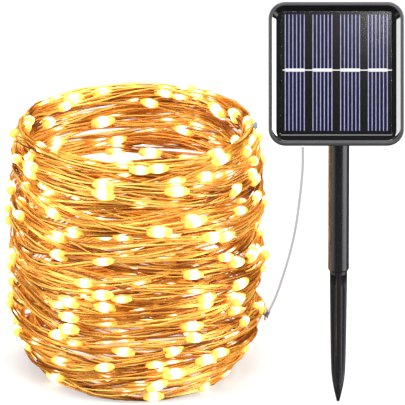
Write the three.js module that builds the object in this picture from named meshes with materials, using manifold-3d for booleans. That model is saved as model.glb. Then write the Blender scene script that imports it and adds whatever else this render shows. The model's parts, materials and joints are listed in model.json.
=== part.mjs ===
// Solar string lights: a tilting solar head on a ground stake, a thin lead, and a coil of
// copper-wire string lights standing beside it. Millimetres, +Z up. The origin is the tip of
// the ground spike, and the solar head faces -Y.
import * as THREE from 'three';
import { mergeVertices } from 'three/addons/utils/BufferGeometryUtils.js';
import Module from 'manifold-3d';

const wasm = await Module();
wasm.setup();

// Driving dimensions
const HEAD_WIDTH = 80;
const HEAD_HEIGHT = 85;
const HEAD_CORNER = 10;
const HEAD_DEPTH = 25;
const HEAD_TILT = THREE.MathUtils.degToRad(20); // lean back from vertical at rest
const HEAD_OFFSET = 1.9; // the head's centre sits this far left of the tube's axis
const HINGE_HEIGHT = 206.8; // hinge axis above the spike's tip
const HINGE_REACH = 9; // hinge axis to the flat back of the rear case
const STEP_HEIGHT = 83.5; // bottom of the tube above the spike's tip
const TUBE_RADIUS = 6.2;
const TUBE_BORE = 5.2;
const LEAD_RADIUS = 0.8;
const COIL_CENTRE = [-120.1, 62.5];
const COIL_HEIGHT = 153.5;
const GAP = 0.3; // clearance kept between neighbouring solids
const FILM = 0.12; // thinner clearance inside the laminated solar panel

// Head levels along its own front-to-back axis, measured from the hinge axis
const FRONT = HINGE_REACH + HEAD_DEPTH;
const BACK = HINGE_REACH;
const SEAM = FRONT - 9;
const RECESS = 1.8;
const LEDGE = FRONT - RECESS;
const POCKET = LEDGE - 2.4;
const TRAY_BACK = POCKET - 1.4;
const CASE_WALL = 1.8;
const CASE_FLOOR = BACK + CASE_WALL;

// Solar panel
const PANEL_WIDTH = 65.5;
const PANEL_HEIGHT = 72.6;
const PANEL_RISE = 0.7; // the panel's centre sits this far above the head's centre
const CELL_WIDTH = 11.8;
const CELL_HEIGHT = 69.2;
const CELL_PITCH = 16.35;
const CELL_COUNT = 4;
const BUSBAR_RISE = 1.5; // ribbon above the panel's centre
const BUSBAR_WIDTH = 1.9;
const LINK_WIDTH = 0.6; // ribbon between two cells
const PLATE_THICK = 1.2;
const CELL_THICK = 0.25;
const RIBBON_THICK = 0.12;
const COVER_THICK = 0.6;
const TERMINAL_X = 6; // the panel's two wires, either side of its middle
const TERMINAL_Y = -30;
const TERMINALS = [-TERMINAL_X, TERMINAL_X];

// Fasteners and controls
const SCREW_X = 30.5;
const SCREW_Y = 33;
const POST_RADIUS = 3.4;
const SCREW_CLEARANCE = 1.7;
const SCREW_HEAD_HOLE = 2.9;
const SCREW_PILOT = 1.5;
const BUTTON_X = 20;
const BUTTON_Y = -21;
const BUTTON_RADIUS = 4.3;
const BUTTON_TRAVEL = 0.8;
const GLAND_X = -19.7;
const GLAND_DEPTH = 18; // the lead's outlet, forward of the hinge axis
const GLAND_NOSE = -42; // tip of the outlet below the hinge axis
const OUTLET_RADIUS = 2.6;
const BATTERY_RADIUS = 7.1;
const BATTERY_LENGTH = 49;
const BATTERY_Y = 18;
const BATTERY_Z = 18.4;
const CONTACT_WIDTH = 9;
const CONTACT_HEIGHT = 10;
const CONTACT_THICK = 0.4;
const SPRING_TURNS = 2.5;
const SPRING_WIRE = 0.35;
const BOARD_Z = 18.2;
const BOARD_THICK = 1.2;
const SWITCH_WIDTH = 6;
const SWITCH_BODY = 3.2;
const SWITCH_HEIGHT = 4.3; // board to the tip of the switch's plunger
const STEM_RADIUS = 1.4;
const WIRE_RADIUS = 0.55;
const EAR_RADIUS = 5.5;
const EYE_HALF_WIDTH = 4;
const EAR_THICK = 3.4;
const BOLT_RADIUS = 1.9;
const KNOB_RADIUS = 7;
const KNOB_THICK = 7;
const KNOB_NOTCHES = 8;
const SHOULDER_DROP = 7; // hinge axis to the top of the knuckle's collar
const COLLAR_HEIGHT = 5;

// Materials
const plastic = (color, roughness = 0.45) => new THREE.MeshStandardMaterial({ color, roughness });
const metal = (color, roughness = 0.3) =>
  new THREE.MeshStandardMaterial({ color, roughness, metalness: 1 });
const MATERIALS = {
  gloss: plastic(0x1d1d20, 0.12),
  charcoal: plastic(0x2b2b2e, 0.4),
  board: plastic(0x0b0b0e, 0.3),
  cell: plastic(0x121733, 0.25),
  clear: new THREE.MeshStandardMaterial({
    color: 0xf2f4f8, roughness: 0.08, transparent: true, opacity: 0.3,
  }),
  rubber: plastic(0x1a1a1a, 0.8),
  circuit: plastic(0x1f5a37, 0.5),
  chip: plastic(0x151515, 0.5),
  redWire: plastic(0xa01818, 0.5),
  blackWire: plastic(0x141414, 0.5),
  batteryWrap: plastic(0x2f6db0, 0.35),
  leadSheath: plastic(0xb9b9b9, 0.35),
  sleeve: plastic(0x9fb4c4, 0.3),
  tinned: metal(0xc9ccd2, 0.25),
  steel: metal(0xb5b8bd, 0.3),
  copper: metal(0xc8702a, 0.3),
};

// Shape helpers

function solidOf(geometry) {
  const bare = geometry.clone();
  bare.deleteAttribute('normal');
  bare.deleteAttribute('uv');
  const merged = mergeVertices(bare, 1e-4);
  return new wasm.Manifold(new wasm.Mesh({
    numProp: 3,
    vertProperties: new Float32Array(merged.attributes.position.array),
    triVerts: new Uint32Array(merged.index.array),
  }));
}

function geometryOf(solid) {
  const mesh = solid.getMesh();
  const geometry = new THREE.BufferGeometry();
  geometry.setAttribute('position', new THREE.BufferAttribute(mesh.vertProperties, 3));
  geometry.setIndex(new THREE.BufferAttribute(mesh.triVerts, 1));
  geometry.computeVertexNormals();
  return geometry;
}

const join = (...geometries) =>
  geometryOf(geometries.map(solidOf).reduce((whole, piece) => whole.add(piece)));

const cut = (geometry, ...tools) =>
  geometryOf(tools.map(solidOf).reduce((whole, tool) => whole.subtract(tool), solidOf(geometry)));

const overlapOf = (a, b) => geometryOf(solidOf(a).intersect(solidOf(b)));

// Outline of a rectangle with round corners, centred on (0, offsetY)
function roundedRectangle(width, height, corner, offsetY = 0, steps = 5) {
  const points = [];
  const centres = [[1, 1], [-1, 1], [-1, -1], [1, -1]];
  centres.forEach(([sideX, sideY], quarter) => {
    for (let i = 0; i <= steps; i++) {
      const angle = (quarter + i / steps) * Math.PI / 2;
      points.push(new THREE.Vector2(
        sideX * (width / 2 - corner) + corner * Math.cos(angle),
        sideY * (height / 2 - corner) + corner * Math.sin(angle) + offsetY,
      ));
    }
  });
  return points;
}

// Closed solid through outlines of equal length, given as [z, outline], lowest first
function loft(...levels) {
  const count = levels[0][1].length;
  const positions = levels.flatMap(([z, outline]) => outline.flatMap((p) => [p.x, p.y, z]));
  const index = [];
  for (let level = 0; level < levels.length - 1; level++) {
    for (let i = 0; i < count; i++) {
      const next = (i + 1) % count;
      const [a, b] = [level * count + i, level * count + next];
      index.push(a, b, b + count, a, b + count, a + count);
    }
  }
  const last = (levels.length - 1) * count;
  for (const [a, b, c] of THREE.ShapeUtils.triangulateShape(levels[0][1], [])) index.push(c, b, a);
  for (const [a, b, c] of THREE.ShapeUtils.triangulateShape(levels.at(-1)[1], [])) {
    index.push(last + a, last + b, last + c);
  }
  const geometry = new THREE.BufferGeometry();
  geometry.setAttribute('position', new THREE.Float32BufferAttribute(positions, 3));
  geometry.setIndex(index);
  geometry.computeVertexNormals();
  return geometry;
}

// Plate of one outline from z = low to z = high
const plate = (low, high, outline) => loft([low, outline], [high, outline]);

const box = (width, depth, height, x = 0, y = 0, z = 0) =>
  new THREE.BoxGeometry(width, depth, height).translate(x, y, z);

// Solid of revolution about Z from [radius, z] pairs; a profile off the axis closes on itself
function turned(profile, segments = 20) {
  const points = profile.map(([r, z]) => new THREE.Vector2(r, z));
  if (profile[0][0] > 0) points.push(points[0].clone());
  const geometry = new THREE.LatheGeometry(points, segments);
  return geometry.rotateX(Math.PI / 2);
}

// Round bar from z = low to z = high at (x, y)
const bar = (radius, low, high, x = 0, y = 0, segments = 20) =>
  turned([[0, low], [radius, low], [radius, high], [0, high]], segments).translate(x, y, 0);

// The same bar lying along X instead
const barAlongX = (radius, low, high, segments = 20) =>
  bar(radius, low, high, 0, 0, segments).rotateY(Math.PI / 2);

// Round tube solid along a list of points
function strand(points, radius, steps, sides = 8) {
  const section = new THREE.Shape();
  for (let i = 0; i < sides; i++) {
    const angle = i / sides * 2 * Math.PI;
    const [x, y] = [radius * Math.cos(angle), radius * Math.sin(angle)];
    if (i === 0) section.moveTo(x, y);
    else section.lineTo(x, y);
  }
  section.closePath();
  const path = new THREE.CatmullRomCurve3(points.map((p) => new THREE.Vector3(...p)));
  return new THREE.ExtrudeGeometry(section, { extrudePath: path, steps, bevelEnabled: false });
}

function piece(name, geometry, material) {
  const mesh = new THREE.Mesh(geometry, material);
  mesh.name = name;
  return mesh;
}

// Solar head, in its own axes: X across, Y up the panel, Z out of its face, hinge axis on X

const cornersOf = (x, y) => [[x, y], [-x, y], [-x, -y], [x, -y]];

function frontBezel() {
  const rimSoftening = 0.8;
  const rimWidth = 2;
  const skirtWall = 1.8;
  const outline = roundedRectangle(HEAD_WIDTH, HEAD_HEIGHT, HEAD_CORNER);
  const softened = roundedRectangle(
    HEAD_WIDTH - 2 * rimSoftening, HEAD_HEIGHT - 2 * rimSoftening, HEAD_CORNER - rimSoftening);
  const rimInside = roundedRectangle(HEAD_WIDTH - 2 * rimWidth, HEAD_HEIGHT - 2 * rimWidth, 8);
  const ledgeEdge = roundedRectangle(71.2, 77, 6, -1.1);
  const pocket = roundedRectangle(PANEL_WIDTH + 2 * GAP, PANEL_HEIGHT + 2 * GAP, 1, PANEL_RISE);
  const hollow = roundedRectangle(
    HEAD_WIDTH - 2 * skirtWall, HEAD_HEIGHT - 2 * skirtWall, HEAD_CORNER - skirtWall);
  const body = loft([SEAM, outline], [FRONT - rimSoftening, outline], [FRONT, softened]);
  const postFoot = 22.6;
  const posts = cornersOf(SCREW_X, SCREW_Y).map(([x, y]) =>
    bar(POST_RADIUS, postFoot, TRAY_BACK + 0.5, x, y));
  const pilots = cornersOf(SCREW_X, SCREW_Y).map(([x, y]) =>
    bar(SCREW_PILOT, postFoot - 1, TRAY_BACK + 0.4, x, y, 12));
  const wireHoles = TERMINALS.map((x) =>
    bar(1.6, TRAY_BACK - 1, POCKET + 1, x, TERMINAL_Y, 12));
  const shell = cut(
    body,
    loft([LEDGE, ledgeEdge], [FRONT + 0.01, rimInside]),
    plate(POCKET, LEDGE + 1, pocket),
    plate(SEAM - 1, TRAY_BACK, hollow),
  );
  return cut(join(shell, ...posts), ...pilots, ...wireHoles);
}

function solarPanel() {
  const plateLow = POCKET + FILM;
  const cellLow = plateLow + PLATE_THICK + FILM;
  const ribbonLow = cellLow + CELL_THICK + FILM;
  const coverLow = ribbonLow + RIBBON_THICK + FILM;
  const outline = roundedRectangle(PANEL_WIDTH, PANEL_HEIGHT, 0.8, PANEL_RISE, 2);
  const throughHoles = TERMINALS.map((x) => bar(0.7, POCKET - 1, cellLow, x, TERMINAL_Y, 8));
  const cellX = (i) => (i - (CELL_COUNT - 1) / 2) * CELL_PITCH;
  const cells = Array.from({ length: CELL_COUNT }, (_, i) => piece(
    `solar_cell_${i + 1}`,
    box(CELL_WIDTH, CELL_HEIGHT, CELL_THICK, cellX(i), PANEL_RISE, cellLow + CELL_THICK / 2),
    MATERIALS.cell,
  ));
  const ribbonY = PANEL_RISE + BUSBAR_RISE;
  const ribbonZ = ribbonLow + RIBBON_THICK / 2;
  const span = cellX(CELL_COUNT - 1) - cellX(0);
  const link = box(span, LINK_WIDTH, RIBBON_THICK, 0, ribbonY, ribbonZ);
  const bars = cells.map((_, i) =>
    box(CELL_WIDTH, BUSBAR_WIDTH, RIBBON_THICK, cellX(i), ribbonY, ribbonZ));
  return [
    piece('solar_plate', cut(plate(plateLow, plateLow + PLATE_THICK, outline), ...throughHoles),
      MATERIALS.board),
    ...cells,
    piece('tab_ribbon', join(link, ...bars), MATERIALS.tinned),
    piece('clear_cover', plate(coverLow, coverLow + COVER_THICK, outline), MATERIALS.clear),
  ];
}

function hingeEars() {
  const ear = new THREE.Shape();
  ear.moveTo(BACK + 1, -EAR_RADIUS - 2);
  ear.lineTo(BACK + 1, EAR_RADIUS + 2);
  ear.lineTo(BACK - 0.5, EAR_RADIUS + 2);
  ear.lineTo(2, EAR_RADIUS);
  ear.absarc(0, 0, EAR_RADIUS, Math.PI / 2, Math.PI * 1.5, false);
  ear.lineTo(2, -EAR_RADIUS);
  ear.lineTo(BACK - 0.5, -EAR_RADIUS - 2);
  ear.closePath();
  const inner = EYE_HALF_WIDTH + GAP;
  return [inner, -inner - EAR_THICK].map((low) =>
    new THREE.ExtrudeGeometry(ear, { depth: EAR_THICK, bevelEnabled: false, curveSegments: 10 })
      .rotateY(-Math.PI / 2).translate(HEAD_OFFSET + low + EAR_THICK, 0, 0));
}

function rearCase() {
  const seam = SEAM - GAP;
  const bend = BACK + 3;
  const outer = loft(
    [BACK, roundedRectangle(70, 75, 7)],
    [bend, roundedRectangle(75, 80, 8.5)],
    [seam, roundedRectangle(77, 82, 9)],
  );
  const inner = loft(
    [CASE_FLOOR, roundedRectangle(68, 73, 6)],
    [bend + CASE_WALL, roundedRectangle(71.4, 76.4, 7)],
    [seam + 1, roundedRectangle(73.4, 78.4, 7.4)],
  );
  const postTop = 22.3;
  const posts = cornersOf(SCREW_X, SCREW_Y).map(([x, y]) =>
    bar(POST_RADIUS, CASE_FLOOR - 0.5, postTop, x, y));
  const clearance = cornersOf(SCREW_X, SCREW_Y).flatMap(([x, y]) => [
    bar(SCREW_CLEARANCE, BACK - 1, postTop + 1, x, y, 12),
    bar(SCREW_HEAD_HOLE, BACK - 1, BACK + 3, x, y, 16),
  ]);
  const buttonHoles = [-1, 1].map((side) =>
    bar(BUTTON_RADIUS + GAP, BACK - 1, CASE_FLOOR + 1, side * BUTTON_X, BUTTON_Y, 24));
  const outlet = bar(OUTLET_RADIUS, GLAND_NOSE, GLAND_NOSE + 8, 0, 0, 16).rotateX(-Math.PI / 2)
    .translate(GLAND_X, 0, GLAND_DEPTH);
  const boltHole = barAlongX(BOLT_RADIUS + GAP, -15, 15, 16).translate(HEAD_OFFSET, 0, 0);
  const shell = join(cut(outer, inner), ...posts, ...hingeEars());
  return cut(shell, ...clearance, ...buttonHoles, outlet, boltHole);
}

function caseSeal() {
  const low = SEAM + 0.2;
  const outside = roundedRectangle(HEAD_WIDTH - 4.4, HEAD_HEIGHT - 4.4, 7.8);
  const inside = roundedRectangle(HEAD_WIDTH - 8, HEAD_HEIGHT - 8, 6);
  return cut(plate(low, low + 0.8, outside), plate(low - 1, low + 2, inside));
}

function caseScrew(x, y) {
  const head = BACK + 0.8;
  const neck = BACK + 2.7;
  const tip = neck + 13;
  const slots = [[3.4, 0.7], [0.7, 3.4]].map(([across, along]) =>
    box(across, along, 2, 0, 0, head - 0.1));
  return cut(
    turned([[0, head], [2.2, head + 0.3], [2.4, neck], [1.2, neck + 0.01], [1.2, tip - 1], [0, tip]],
      16),
    ...slots,
  ).translate(x, y, 0);
}

function battery() {
  const half = BATTERY_LENGTH / 2;
  const can = turned([
    [0, -half], [BATTERY_RADIUS - 0.8, -half], [BATTERY_RADIUS, -half + 0.8],
    [BATTERY_RADIUS, half - 1.8], [BATTERY_RADIUS - 0.8, half - 1], [2.6, half - 1],
    [2.6, half], [0, half],
  ], 24);
  const lay = (geometry) => geometry.rotateY(Math.PI / 2).translate(0, BATTERY_Y, BATTERY_Z);
  const springFoot = -half - 3.4;
  const spiral = strand(
    Array.from({ length: 25 }, (_, i) => {
      const angle = i / 24 * 2 * Math.PI * SPRING_TURNS;
      const radius = 3.8 - i / 24 * 1.6;
      return [radius * Math.cos(angle), radius * Math.sin(angle), springFoot + 0.3 + i / 24 * 2.4];
    }),
    SPRING_WIRE, 60, 6);
  const contact = (z) => box(CONTACT_WIDTH, CONTACT_HEIGHT, CONTACT_THICK, 0, 0, z);
  const plusPlace = half + GAP + CONTACT_THICK / 2;
  return [
    piece('battery_cell', lay(can), MATERIALS.batteryWrap),
    piece('battery_contact_spring', lay(join(spiral, contact(springFoot))), MATERIALS.steel),
    piece('battery_contact_plus', lay(contact(plusPlace)), MATERIALS.steel),
  ];
}

function electronics() {
  const board = plate(BOARD_Z, BOARD_Z + BOARD_THICK, roundedRectangle(50, 22, 1, BUTTON_Y, 2));
  const tactSwitch = (x) => join(
    box(SWITCH_WIDTH, SWITCH_WIDTH, SWITCH_BODY, x, BUTTON_Y, BOARD_Z - GAP - SWITCH_BODY / 2),
    bar(1.7, BOARD_Z - SWITCH_HEIGHT, BOARD_Z - 3, x, BUTTON_Y, 12),
  );
  const behind = BOARD_Z - GAP;
  return [
    piece('circuit_board', board, MATERIALS.circuit),
    piece('power_switch', tactSwitch(BUTTON_X), MATERIALS.chip),
    piece('mode_switch', tactSwitch(-BUTTON_X), MATERIALS.chip),
    piece('controller_chip', box(5, 6, 1.6, 2, BUTTON_Y + 3, behind - 0.8), MATERIALS.chip),
    piece('choke_coil', turned([
      [0, behind - 4.4], [3, behind - 4.4], [3, behind - 3.8], [2.2, behind - 3.6],
      [2.2, behind - 0.8], [3, behind - 0.6], [3, behind], [0, behind],
    ], 16).translate(-7, BUTTON_Y - 4, 0), MATERIALS.copper),
    piece('capacitor', bar(2.5, behind - 5.4, behind, 10, BUTTON_Y - 5, 16), MATERIALS.chip),
  ];
}

// Insulated wires inside the case, each from one terminal to the next
function caseWires() {
  const boardTop = BOARD_Z + BOARD_THICK + GAP;
  const trayBelow = TRAY_BACK - 1.4;
  const wire = (name, material, points) =>
    piece(name, strand(points, WIRE_RADIUS, 24, 8), material);
  return [
    wire('panel_wire_red', MATERIALS.redWire, [
      [TERMINAL_X, TERMINAL_Y, POCKET - 0.6], [TERMINAL_X, TERMINAL_Y, trayBelow],
      [7, -27, trayBelow - 1.6],
      [8, -22, trayBelow - 2], [8, -18, boardTop + 1.4], [8, -16, boardTop],
    ]),
    wire('panel_wire_black', MATERIALS.blackWire, [
      [-TERMINAL_X, TERMINAL_Y, POCKET - 0.6], [-TERMINAL_X, TERMINAL_Y, trayBelow],
      [-7, -27, trayBelow - 1.6],
      [-8, -22, trayBelow - 2], [-8, -18, boardTop + 1.4], [-8, -16, boardTop],
    ]),
    wire('battery_wire_red', MATERIALS.redWire, [
      [27.2, BATTERY_Y - 5.2, 19], [28, 8, 20], [27.5, -2, 22], [25, -9, 22.6],
      [21.5, -13, boardTop + 1.6], [21, -14, boardTop],
    ]),
    wire('battery_wire_black', MATERIALS.blackWire, [
      [-29.4, BATTERY_Y - 5.4, 19], [-29.6, 8, 20], [-28, -2, 22], [-25, -9, 22.6],
      [-21.5, -13, boardTop + 1.6], [-21, -14, boardTop],
    ]),
  ];
}

// Rubber outlet: a flange inside the wall, a groove that holds the wall, and a short nose
function cableGland() {
  const bore = LEAD_RADIUS + GAP;
  return turned([
    [bore, GLAND_NOSE], [1.9, GLAND_NOSE], [2.3, -40.8], [2.3, -36.6], [3.6, -36.6], [3.6, -35.4],
    [bore, -35.4],
  ], 16).rotateX(-Math.PI / 2).translate(GLAND_X, 0, GLAND_DEPTH);
}

// Push button: cap outside, wide flange inside, stem down to the switch
function pushButton(x) {
  const stemTip = BOARD_Z - SWITCH_HEIGHT - BUTTON_TRAVEL - 0.1;
  return turned([
    [0, BACK - 1.6], [3.4, BACK - 1.6], [BUTTON_RADIUS, BACK - 1], [BUTTON_RADIUS, CASE_FLOOR + GAP],
    [BUTTON_RADIUS + 1, CASE_FLOOR + GAP], [BUTTON_RADIUS + 1, CASE_FLOOR + GAP + 0.8],
    [STEM_RADIUS, CASE_FLOOR + GAP + 0.8], [STEM_RADIUS, stemTip], [0, stemTip],
  ], 24).translate(x, BUTTON_Y, 0);
}

// Hand knob on the bolt: round, with grip notches around its rim
function clampKnob() {
  const low = EYE_HALF_WIDTH + GAP + EAR_THICK + GAP + 1 + GAP;
  const notchReach = KNOB_RADIUS + 0.6;
  const notches = Array.from({ length: KNOB_NOTCHES }, (_, i) => {
    const angle = i / KNOB_NOTCHES * 2 * Math.PI;
    return bar(
      1.3, -1, KNOB_THICK + 2, notchReach * Math.cos(angle), notchReach * Math.sin(angle), 10);
  });
  const body = turned([[0, 0], [4.6, 0], [5, 0.6], [KNOB_RADIUS, 1.6], [KNOB_RADIUS, 6],
    [KNOB_RADIUS - 1, KNOB_THICK], [0, KNOB_THICK]], 32);
  return cut(body, ...notches, bar(BOLT_RADIUS + GAP, -1, 5, 0, 0, 16))
    .rotateY(Math.PI / 2).translate(low, 0, 0);
}

function hingeBolt() {
  const earOutside = EYE_HALF_WIDTH + GAP + EAR_THICK;
  const head = turned([[0, -earOutside - 3], [3, -earOutside - 3], [3.5, -earOutside - 2.4],
    [3.5, -earOutside - GAP], [BOLT_RADIUS, -earOutside - GAP + 0.01], [BOLT_RADIUS, 13.4],
    [0, 13.4]], 16);
  return head.rotateY(Math.PI / 2);
}

function hingeWasher() {
  const low = EYE_HALF_WIDTH + GAP + EAR_THICK + GAP;
  return turned([[BOLT_RADIUS + GAP, low], [4.4, low], [4.4, low + 1], [BOLT_RADIUS + GAP, low + 1]],
    20).rotateY(Math.PI / 2);
}

function hingeFasteners() {
  const fasteners = new THREE.Group();
  fasteners.position.x = HEAD_OFFSET;
  fasteners.add(
    piece('hinge_bolt', hingeBolt(), MATERIALS.steel),
    piece('hinge_washer', hingeWasher(), MATERIALS.steel),
    piece('clamp_knob', clampKnob(), MATERIALS.charcoal),
  );
  return fasteners;
}

function solarHead() {
  const head = new THREE.Group();
  head.position.set(-HEAD_OFFSET, 0, HINGE_HEIGHT);
  head.rotation.x = Math.PI / 2 - HEAD_TILT;
  head.add(
    piece('front_bezel', frontBezel(), MATERIALS.gloss),
    ...solarPanel(),
    piece('case_seal', caseSeal(), MATERIALS.rubber),
    piece('rear_case', rearCase(), MATERIALS.charcoal),
    ...cornersOf(SCREW_X, SCREW_Y).map(([x, y], i) =>
      piece(`case_screw_${i + 1}`, caseScrew(x, y), MATERIALS.steel)),
    ...battery(),
    ...electronics(),
    ...caseWires(),
    piece('cable_gland', cableGland(), MATERIALS.rubber),
    piece('lead_upper', leadUpper(), MATERIALS.leadSheath),
    piece('power_button', pushButton(BUTTON_X), MATERIALS.rubber),
    piece('mode_button', pushButton(-BUTTON_X), MATERIALS.rubber),
    hingeFasteners(),
  );
  return head;
}

// Stake: hinge knuckle, tube and ground spike, standing on the spike's tip

function hingeKnuckle() {
  const shoulder = HINGE_HEIGHT - SHOULDER_DROP;
  const collarFoot = shoulder - COLLAR_HEIGHT;
  const eye = barAlongX(EAR_RADIUS - 0.3, -EYE_HALF_WIDTH, EYE_HALF_WIDTH, 24)
    .translate(0, 0, HINGE_HEIGHT);
  const neck = box(2 * EYE_HALF_WIDTH, 9.6, SHOULDER_DROP + 1, 0, 0, HINGE_HEIGHT - SHOULDER_DROP / 2);
  const collar = turned([
    [0, collarFoot - 14], [TUBE_BORE - GAP, collarFoot - 14], [TUBE_BORE - GAP, collarFoot],
    [TUBE_RADIUS, collarFoot], [TUBE_RADIUS, shoulder - 1], [TUBE_RADIUS - 1, shoulder],
    [0, shoulder],
  ], 24);
  const boltHole = barAlongX(BOLT_RADIUS + GAP, -10, 10, 16).translate(0, 0, HINGE_HEIGHT);
  return cut(join(eye, neck, collar), boltHole);
}

function stakeTube() {
  const top = HINGE_HEIGHT - SHOULDER_DROP - COLLAR_HEIGHT - GAP;
  return turned([
    [TUBE_BORE, STEP_HEIGHT], [TUBE_RADIUS - 0.8, STEP_HEIGHT], [TUBE_RADIUS, STEP_HEIGHT + 1.4],
    [TUBE_RADIUS, top], [TUBE_BORE, top],
  ], 32);
}

// Cross-ribbed spike: two crossed blades trimmed to a pointed round envelope, and a plug on top
function groundSpike() {
  const ribThick = 3.4;
  const topRadius = 5.1;
  const tipRadius = 0.6;
  const ogive = [
    [0, 0], [tipRadius, 0], [1.9, 6], [3, 14], [3.8, 24], [4.3, 36], [topRadius, STEP_HEIGHT - 2],
    [topRadius - 0.5, STEP_HEIGHT - GAP], [0, STEP_HEIGHT - GAP],
  ];
  const blade = box(2 * topRadius + 1, ribThick, STEP_HEIGHT, 0, 0, STEP_HEIGHT / 2);
  const blades = join(blade, blade.clone().rotateZ(Math.PI / 2));
  const plug = bar(TUBE_BORE - GAP, STEP_HEIGHT - 1.5, STEP_HEIGHT + 22, 0, 0, 24);
  return join(overlapOf(blades, turned(ogive, 24)), plug);
}

// Lead and light string

const SWEEP_RADIUS = 55.4; // how far from the hinge axis the lead stays on the head's side

// The lead's first stretch, straight out of the gland, which moves with the head
function leadUpper() {
  const start = -36;
  const end = -Math.sqrt(SWEEP_RADIUS ** 2 - GLAND_DEPTH ** 2);
  return bar(LEAD_RADIUS, end, start, 0, 0, 8).rotateX(-Math.PI / 2)
    .translate(GLAND_X, 0, GLAND_DEPTH);
}

// The rest of the lead, hanging from the head down to the right side of the coil
const LEAD_ROUTE = [
  [-21.6, -34.95, 163.45],
  [-21.9, -36.4, 157.0],
  [-22.5, -36.8, 150.0],
  [-23.4, -35.9, 141.0],
  [-24.4, -33.7, 132.0],
  [-25.6, -29.9, 122.0],
  [-27.0, -24.6, 112.0],
  [-28.7, -17.8, 102.0],
  [-30.4, -9.5, 92.0],
  [-32.2, 0.4, 82.0],
  [-34.0, 11.3, 71.8],
  [-35.7, 22.8, 62.0],
  [-37.6, 34.1, 52.6],
  [-39.5, 44.6, 44.2],
  [-41.2, 52.0, 38.0],
];

function leadLower() {
  return strand(LEAD_ROUTE, LEAD_RADIUS, 60, 8);
}

// Heat-shrunk sleeve where the lead meets the copper string, in line with the lead's end
function spliceSleeve() {
  const end = new THREE.Vector3(...LEAD_ROUTE.at(-1));
  const before = new THREE.Vector3(...LEAD_ROUTE.at(-2));
  const along = end.clone().sub(before).normalize();
  const turn = new THREE.Quaternion().setFromUnitVectors(new THREE.Vector3(0, 0, 1), along);
  const start = end.addScaledVector(along, GAP);
  return turned([[0, 0], [0.9, 0], [1.3, 0.8], [1.3, 7.6], [0.8, 8.4], [0, 8.4]], 12)
    .applyQuaternion(turn).translate(start.x, start.y, start.z);
}

// Outer shape of the coiled string: a tall barrel-sided ring, pulled in at its foot
function lightCoil() {
  const profile = [
    [51, 0], [61, 0], [67, 4], [71.5, 11], [74, 20], [75.6, 34], [77.3, 60], [77.2, 90],
    [76.3, 116], [75, 136], [73, 148], [69.5, COIL_HEIGHT], [63.5, COIL_HEIGHT], [61.5, 149],
    [62, 122], [62, 60], [59, 25], [53, 8],
  ];
  return turned(profile, 40).translate(COIL_CENTRE[0], COIL_CENTRE[1], 0);
}

const group = new THREE.Group();
group.add(
  solarHead(),
  piece('hinge_knuckle', hingeKnuckle(), MATERIALS.charcoal),
  piece('stake_tube', stakeTube(), MATERIALS.charcoal),
  piece('ground_spike', groundSpike(), MATERIALS.charcoal),
  piece('lead_lower', leadLower(), MATERIALS.leadSheath),
  piece('splice_sleeve', spliceSleeve(), MATERIALS.sleeve),
  piece('light_coil', lightCoil(), MATERIALS.copper),
);

export default group;
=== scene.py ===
"""Solar string lights: a tilting solar head on a ground stake, its thin lead, and the coiled
copper string with glowing beads. Metres, +Z up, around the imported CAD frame."""
import json
import math

import bpy
import numpy as np
from mathutils import Matrix, Vector


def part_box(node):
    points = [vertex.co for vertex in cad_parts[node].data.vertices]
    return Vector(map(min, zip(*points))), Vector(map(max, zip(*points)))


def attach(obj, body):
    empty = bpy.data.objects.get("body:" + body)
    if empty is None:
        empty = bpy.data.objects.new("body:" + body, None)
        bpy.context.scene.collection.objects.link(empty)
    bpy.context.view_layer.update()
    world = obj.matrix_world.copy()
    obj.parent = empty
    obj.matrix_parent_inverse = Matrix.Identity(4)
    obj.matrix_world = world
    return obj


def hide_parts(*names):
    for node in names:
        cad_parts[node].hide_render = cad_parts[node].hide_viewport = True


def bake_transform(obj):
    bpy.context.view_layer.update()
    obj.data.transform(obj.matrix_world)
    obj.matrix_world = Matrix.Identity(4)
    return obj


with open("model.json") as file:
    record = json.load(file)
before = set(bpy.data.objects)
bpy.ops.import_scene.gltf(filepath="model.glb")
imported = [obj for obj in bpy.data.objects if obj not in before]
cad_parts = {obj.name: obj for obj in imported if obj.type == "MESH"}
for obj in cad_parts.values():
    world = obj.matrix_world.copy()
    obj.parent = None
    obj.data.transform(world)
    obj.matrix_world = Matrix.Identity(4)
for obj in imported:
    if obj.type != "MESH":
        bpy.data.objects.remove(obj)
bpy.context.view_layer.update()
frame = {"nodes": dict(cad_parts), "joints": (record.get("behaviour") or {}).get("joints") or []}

MM = 0.001
NODES = frame["nodes"]
JOINTS = {joint["name"]: joint for joint in frame["joints"]}


# Mesh helpers

def make_object(name, points, faces, smooth_below=40):
    """A mesh object from points and faces, smooth except across edges sharper than the angle."""
    mesh = bpy.data.meshes.new(name)
    mesh.from_pydata([tuple(p) for p in points], [], [tuple(f) for f in faces])
    mesh.validate()
    mesh.update()
    thing = bpy.data.objects.new(name, mesh)
    shade(thing, smooth_below)
    bpy.context.scene.collection.objects.link(thing)
    return thing


def loft(name, loops, smooth_below=40):
    """A closed body through loops of equal length, capped at both ends."""
    count = len(loops[0])
    points = [p for loop in loops for p in loop]
    faces = []
    for level in range(len(loops) - 1):
        for i in range(count):
            a = level * count + i
            b = level * count + (i + 1) % count
            faces.append((a, b, b + count, a + count))
    last = (len(loops) - 1) * count
    faces.append(range(count - 1, -1, -1))
    faces.append(range(last, last + count))
    return make_object(name, points, faces, smooth_below)


def circle(radius, z, segments):
    angles = [2 * math.pi * i / segments for i in range(segments)]
    return [(radius * math.cos(angle), radius * math.sin(angle), z) for angle in angles]


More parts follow.
